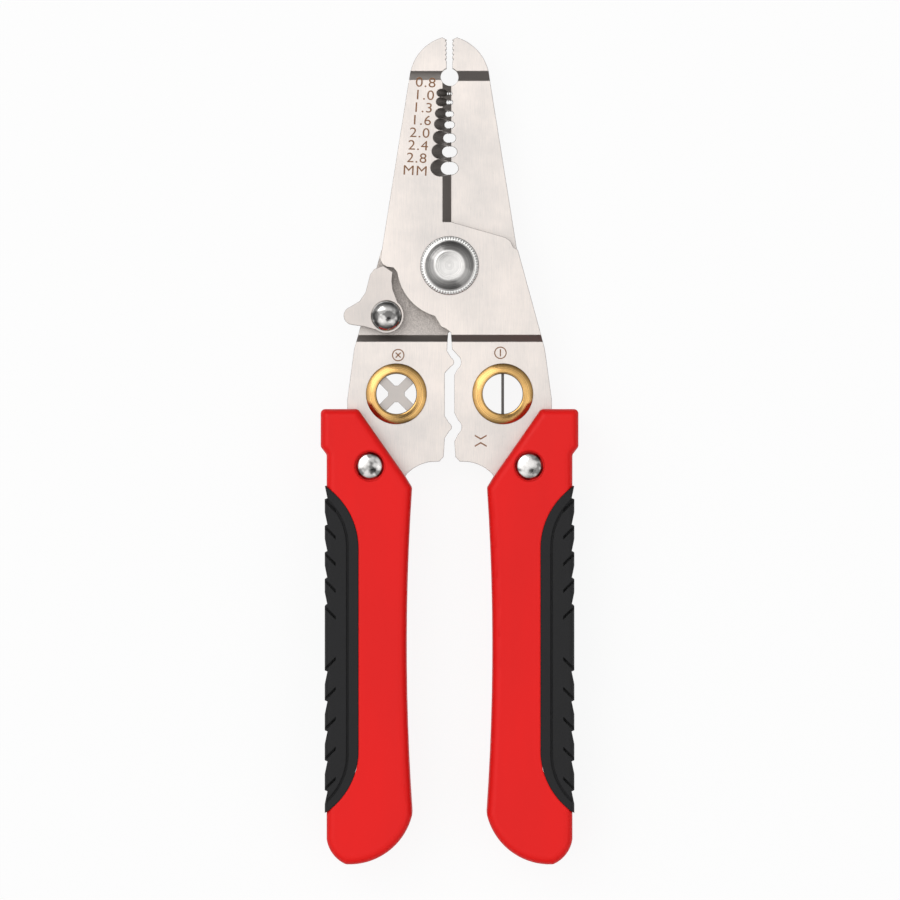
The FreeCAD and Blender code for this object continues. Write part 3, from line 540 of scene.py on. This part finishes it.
class STRIPPER_OT_pivot(bpy.types.Operator):
    """Turn the pivot bolt, a flat bright face on a polished cone, and knurl its collar"""

    bl_idname = "stripper.pivot"
    bl_label = "Pivot bolt"

    def execute(self, context):
        self.bolt(shade(finish_of(context).bright_steel, 0.9))
        self.collar()
        return {"FINISHED"}

    @staticmethod
    def bolt(colour):
        """From the foot up: chamfered shank, thin rolled rim, bowed cone and a face dished by a hair."""
        wide, foot, top = reach("pivot_bolt")
        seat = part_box("pivot_collar")[1].z / MM
        shank, face = 2.9, 3.12
        rim, dish = seat + 0.3, top - 0.07
        profile = [(0, foot), (shank - 0.7, foot), (shank, foot + 0.6), (shank, seat + 0.01)]
        profile += [(wide, seat + 0.01), (wide, rim), (wide - 0.07, rim + 0.09)]
        profile += bowed((wide - 0.2, rim + 0.12), (face + 0.13, top - 0.03), 0.06, 8)
        profile += [(face, top), (face - 0.17, top - 0.03), (0.5, dish), (0, dish)]
        # Painted shade on the cone: about half as bright as the flat face.
        cone_shade = ((0.0, 0.6), (0.93, 0.6), (0.97, 0.0))
        steel = turned_metal("bolt_steel", colour, PIVOT, 0.17, 0.3, cone_shade)
        centre = (PIVOT.x, PIVOT.y, 0)
        piece = turned("pivot_bolt_turned", profile, centre, BACK, steel, 144, 24)
        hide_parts("pivot_bolt")

    @staticmethod
    def collar():
        """Knurled collar: at angle u a section point drops by its weight times
        depth * (1 - cos(teeth u)) / 2. Each section row is (radius, height, weight)."""
        wide, low, high = reach("pivot_collar")
        bore, teeth, depth = 3.05, 64, 0.22
        section = np.array([
            (bore, low, 0), (wide - 0.05, low, 0), (wide, low + 0.05, 0), (wide, high - 0.34, 0),
            (wide - 0.05, high - 0.1, 0.9), (wide - 0.2, high, 1.0), (wide - 0.5, high, 0.5),
            (wide - 0.6, high, 0), (bore, high, 0)])
        angle = np.linspace(0, 2 * math.pi, teeth * 10, endpoint=False)
        drop = depth * (1 - np.cos(teeth * angle)) / 2
        x = section[:, :1] * np.cos(angle) * MM + PIVOT.x
        y = section[:, :1] * np.sin(angle) * MM + PIVOT.y
        z = (section[:, 1:2] - section[:, 2:] * drop) * MM
        points = np.stack([x, y, z], -1).reshape(-1, 3)
        faces = grid_faces(len(section), len(angle), True)
        steel = turned_metal("collar_steel", (0.93, 0.92, 0.90), PIVOT, 0.3, 0.1)
        piece = mesh_object("pivot_collar_knurled", points, faces, BACK, steel, 50)
        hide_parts("pivot_collar")


class STRIPPER_OT_rivets(bpy.types.Operator):
    """Form the three polished rivets: an oval dome at each visible end of a plain shank"""

    bl_idname = "stripper.rivets"
    bl_label = "Rivets"

    def execute(self, context):
        polished = polished_metal("polished_steel", shade(finish_of(context).bright_steel, 0.88))
        head, shank = 0.9, 1.4
        for node, body in (("left_handle_rivet", BACK), ("right_handle_rivet", FRONT)):
            wide, foot, top = reach(node)
            upper = dome(wide, top - head, top)
            lower = [(radius, foot + top - height) for radius, height in reversed(upper)]
            self.form(node, body, lower + [(shank, foot + head), (shank, top - head)] + upper, polished)
        wide, foot, top = reach("latch_rivet")
        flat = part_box("latch")[1].z / MM + 0.02
        shank, flange = 1.45, 2.6
        profile = [(0, foot), (flange - 0.2, foot), (flange, foot + 0.2), (flange, foot + 0.78)]
        profile += [(shank, foot + 0.78), (shank, flat)] + dome(wide, flat, top - 0.2)
        self.form("latch_rivet", BACK, profile, polished)
        return {"FINISHED"}

    @staticmethod
    def form(node, body, profile, material):
        """Turn a rivet in its part's place."""
        piece = turned(node + "_formed", profile, axis_of(node), body, material, 72, 30)
        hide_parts(node)


class STRIPPER_OT_rings(bpy.types.Operator):
    """Turn the four brass rings: rolled inner lip, broad sloping face and rounded rim"""

    bl_idname = "stripper.rings"
    bl_label = "Brass rings"

    def execute(self, context):
        brass = tuple(finish_of(context).brass)
        for hole, body in (("twist", BACK), ("split", FRONT)):
            for side, up in (("front", 1), ("back", -1)):
                node = "%s_ring_%s" % (hole, side)
                metal = turned_metal(node + "_brass", brass, axis_of(node), 0.15, 0.4)
                section = self.section(node, up)
                piece = turned(node + "_turned", section, axis_of(node), body, metal, 96, 28, True)
                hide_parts(node)
        return {"FINISHED"}

    @staticmethod
    def section(node, up):
        """A ring's section; up is 1 for a ring on the front and -1 for one on the back."""
        wide, low, high = reach(node)
        inner, crest = (low, high) if up > 0 else (high, low)
        bore, neck = 4.36, 5.2

        def down(depth):
            return crest - up * depth

        points = [(wide, down(0.94)), (wide, down(0.72)), (wide - 0.05, down(0.62))]
        points += bowed((wide - 0.16, down(0.55)), (bore + 0.55, down(0.02)), 0.09 * up, 9)
        points += [(bore + 0.42, crest), (bore + 0.16, down(0.12)), (bore + 0.03, down(0.34))]
        points += [(bore, down(0.6)), (bore, inner), (neck, inner), (neck, down(0.94))]
        return points if up > 0 else points[::-1]


class STRIPPER_OT_handles(bpy.types.Operator):
    """Finish the moulded handles and their grips"""

    bl_idname = "stripper.handles"
    bl_label = "Handles and grips"

    def execute(self, context):
        finish = finish_of(context)
        red = moulded_plastic("handle_red", tuple(finish.red))
        black = soft_rubber("grip_black", tuple(finish.black))
        for hand in ("left", "right"):
            dress(hand + "_handle", red)
            dress(hand + "_grip", black)
        return {"FINISHED"}


# The etched rows, the middles of the first and last one in mm, and half an etching's thickness in metres.
MARK_ROWS = ("0.8", "1.0", "1.3", "1.6", "2.0", "2.4", "2.8", "MM")
FIRST_ROW = (-5.2, 80.0)
LAST_ROW = (-7.5, 60.8)
HAIR = 0.00001


class STRIPPER_OT_marks(bpy.types.Operator):
    """Etch the notch sizes and the plain work symbols"""

    bl_idname = "stripper.marks"
    bl_label = "Etched marks"

    def execute(self, context):
        burn = etched("etch_brown", tuple(finish_of(context).mark))
        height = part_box("front_blade")[1].z + HAIR
        places = np.linspace(FIRST_ROW, LAST_ROW, len(MARK_ROWS)) * MM
        for text, (x, y) in zip(MARK_ROWS, places.tolist()):
            self.word("mark_" + text.replace(".", "_"), text, Vector((x, y, height)), burn)
        self.symbols(burn)
        return {"FINISHED"}

    @staticmethod
    def symbols(burn):
        """Plain signs for the three jobs: a cross and a bar in rings, and closing chevrons.
        A second bar lies a micron or two lower, so that no two faces share a plane."""
        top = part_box("back_blade")[1].z / MM
        low, high = top + 0.004, top + 0.02
        section = [(1.12, low), (1.36, low), (1.36, high), (1.12, high)]
        bar = np.array([(-0.78, -0.13), (0.78, -0.13), (0.78, 0.13), (-0.78, 0.13)])
        for word, body, shift, angles in (("twist", BACK, (0.4, 8.45), (45, 135)),
                                          ("split", FRONT, (-0.5, 8.95), (90,))):
            centre = axis_of(word + "_ring_front") + Vector((*shift, 0)) * MM
            turned("mark_%s_ring" % word, section, centre, body, burn, 48, 30, True)
            for number, angle in enumerate(angles):
                arm = spin(bar, angle) + np.array(centre.xy) / MM
                prism("mark_%s_arm_%d" % (word, number + 1), [arm],
                      low - 0.001 * number, high - 0.002 * number, body, burn)
        chevron = np.array([(-1.3, 1.0), (0.0, 0.25), (1.3, 1.0), (1.3, 1.35), (0.0, 0.6), (-1.3, 1.35)])
        crimp = np.array((6.8, 2.0))
        pair = [chevron + crimp, (chevron * (1, -1))[::-1] + crimp]
        prism("mark_crimp", pair, low, high, FRONT, burn)

    @staticmethod
    def word(name, text, place, material):
        """One etched word, centred on its place, tilted with the rows and raised by a hair."""
        curve = bpy.data.curves.new(name + "_line", "FONT")
        curve.body = text
        curve.size = 2.85 * MM
        curve.align_x = "CENTER"
        curve.align_y = "CENTER"
        curve.extrude = HAIR
        curve.space_character = 1.1
        maker = bpy.data.objects.new(name + "_line", curve)
        bpy.context.scene.collection.objects.link(maker)
        bpy.context.view_layer.update()
        settled = maker.evaluated_get(bpy.context.evaluated_depsgraph_get())
        mesh = bpy.data.meshes.new_from_object(settled)
        bpy.data.objects.remove(maker)
        broad = Matrix.Diagonal((1.2, 1.06, 1.0, 1.0))
        mesh.transform(Matrix.Translation(place) @ Matrix.Rotation(math.radians(-3), 4, "Z") @ broad)
        item = bpy.data.objects.new(name, mesh)
        bpy.context.scene.collection.objects.link(item)
        mesh.materials.clear()
        mesh.materials.append(material)
        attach(item, FRONT)


# Brightness of the studio from level to straight up, and the direction of the dim gap in its ceiling.
CEILING = ((0.0, 0.30), (0.10, 0.15), (0.42, 0.15), (0.62, 0.5), (0.80, 1.0), (1.0, 1.05))
CEILING_GAP = Vector((0.16, -0.30, 0.94)).normalized()


class STRIPPER_OT_stage(bpy.types.Operator):
    """Set the floor, lights and camera"""

    bl_idname = "stripper.stage"
    bl_label = "Stage"

    def execute(self, context):
        stage = context.scene.stripper_stage
        context.scene.view_settings.view_transform = "Standard"
        self.floor(1.6)
        self.world(stage.world_light)
        self.lamp("key_light", (-0.45, 0.5, 0.9), 0.7, stage.key_light)
        self.lamp("fill_light", (0.6, -0.4, 0.8), 0.8, stage.key_light * 0.45)
        self.camera(stage.height, stage.view_wide)
        return {"FINISHED"}

    @staticmethod
    def camera(height, view_wide):
        """Straight above the object, with a lens that sees the given width at the plates' level."""
        film, plates = 36, 0.010
        lens = bpy.data.cameras.new("camera")
        lens.sensor_width = film
        lens.lens = film * (height - plates) / view_wide
        lens.clip_start = 0.01
        item = bpy.data.objects.new("camera", lens)
        bpy.context.scene.collection.objects.link(item)
        item.location = (0.0001, 0.0, height)
        bpy.context.scene.camera = item

    @staticmethod
    def floor(size):
        """Pale floor just under the object: nearly white to the camera, part white to glossy rays."""
        mesh = bpy.data.meshes.new("floor")
        half = size / 2
        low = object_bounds()[0][2] - 0.0002
        corners = [(-half, -half, low), (half, -half, low), (half, half, low), (-half, half, low)]
        mesh.from_pydata(corners, [], [(0, 1, 2, 3)])
        item = bpy.data.objects.new("floor", mesh)
        bpy.context.scene.collection.objects.link(item)
        g = Graph("floor_white")
        g.set(Roughness=0.7, Base_Color=(0.9, 0.9, 0.9))
        white = g.node("ShaderNodeEmission")
        g.fill(white.inputs["Strength"], 1.0)
        rays = g.node("ShaderNodeLightPath").outputs
        seen = g.maths("MAXIMUM", rays["Is Camera Ray"], rays["Is Transmission Ray"])
        seen = g.maths("MAXIMUM", seen, g.maths("MULTIPLY", rays["Is Glossy Ray"], 0.6))
        g.blend(g.maths("MULTIPLY", seen, 0.9), g.shader.outputs[0], white.outputs[0], "Material Output")
        mesh.materials.append(g.material)
        item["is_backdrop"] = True

    @staticmethod
    def world(strength):
        """White room with a bright ceiling and darker walls, which give metal its contrast.
        Brightness is ceiling(height) * (1 + 0.75 (x x - y y) - 0.45 x) for direction (x, y, height),
        less a dim round gap in the ceiling. Camera and transmission rays see plain white, and so do
        glossy rays that run nearly level or downward."""
        world = bpy.data.worlds.new("studio")
        bpy.context.scene.world = world
        world.use_nodes = True
        w = Wiring(world.node_tree)
        way = w.node("ShaderNodeTexCoord").outputs["Generated"]
        parts = w.node("ShaderNodeSeparateXYZ")
        w.link(way, parts.inputs[0])
        x, y, height = parts.outputs
        lobes = w.maths("SUBTRACT", w.maths("MULTIPLY", x, x), w.maths("MULTIPLY", y, y))
        side = w.maths("SUBTRACT", w.maths("MULTIPLY", lobes, 0.75), w.maths("MULTIPLY", x, 0.45))
        bright = w.maths("MULTIPLY", w.greys(height, CEILING), w.maths("ADD", side, 1.0))
        toward = w.node("ShaderNodeVectorMath", operation="DOT_PRODUCT")
        w.link(way, toward.inputs[0])
        toward.inputs[1].default_value = CEILING_GAP
        gap = w.span(toward.outputs["Value"], 1.0, 0.12, 0.965, 0.992, "SMOOTHSTEP")
        studio = w.tree.nodes["Background"]
        w.fill(studio.inputs["Strength"], strength)
        w.link(w.maths("MULTIPLY", bright, gap), studio.inputs["Color"])
        plain = w.node("ShaderNodeBackground")
        w.fill(plain.inputs["Color"], (1, 1, 1))
        w.fill(plain.inputs["Strength"], 1.0)
        rays = w.node("ShaderNodeLightPath").outputs
        level = w.maths("MULTIPLY", rays["Is Glossy Ray"], w.maths("LESS_THAN", height, 0.06))
        seen = w.maths("MAXIMUM", rays["Is Camera Ray"], rays["Is Transmission Ray"])
        w.blend(w.maths("MAXIMUM", seen, level), studio.outputs[0], plain.outputs[0], "World Output")

    @staticmethod
    def lamp(name, place, size, power):
        """A square lamp that looks at the origin."""
        light = bpy.data.lights.new(name, "AREA")
        light.shape = "SQUARE"
        light.size = size
        light.energy = power
        item = bpy.data.objects.new(name, light)
        bpy.context.scene.collection.objects.link(item)
        item.location = place
        item.rotation_euler = (-Vector(place)).to_track_quat("-Z", "Y").to_euler()


STEPS = (STRIPPER_OT_metal, STRIPPER_OT_pivot, STRIPPER_OT_rivets, STRIPPER_OT_rings,
         STRIPPER_OT_handles, STRIPPER_OT_marks, STRIPPER_OT_stage)


class STRIPPER_PT_panel(bpy.types.Panel):
    """Buttons for each group of pieces"""

    bl_idname = "STRIPPER_PT_panel"
    bl_label = "Wire stripper"
    bl_space_type = "VIEW_3D"
    bl_region_type = "UI"
    bl_category = "Stripper"

    def draw(self, context):
        for step in STEPS:
            self.layout.operator(step.bl_idname)
        for group in (context.scene.stripper_finish, context.scene.stripper_stage):
            for key in group.__annotations__:
                self.layout.prop(group, key)


CLASSES = (StripperFinish, StripperStage) + STEPS + (STRIPPER_PT_panel,)


def register():
    for item in CLASSES:
        bpy.utils.register_class(item)
    bpy.types.Scene.stripper_finish = bpy.props.PointerProperty(type=StripperFinish)
    bpy.types.Scene.stripper_stage = bpy.props.PointerProperty(type=StripperStage)


def unregister():
    del bpy.types.Scene.stripper_stage
    del bpy.types.Scene.stripper_finish
    for item in reversed(CLASSES):
        bpy.utils.unregister_class(item)


def main():
    register()
    for step in STEPS:
        group, word = step.bl_idname.split(".")
        getattr(getattr(bpy.ops, group), word)()


if __name__ == "__main__":
    main()
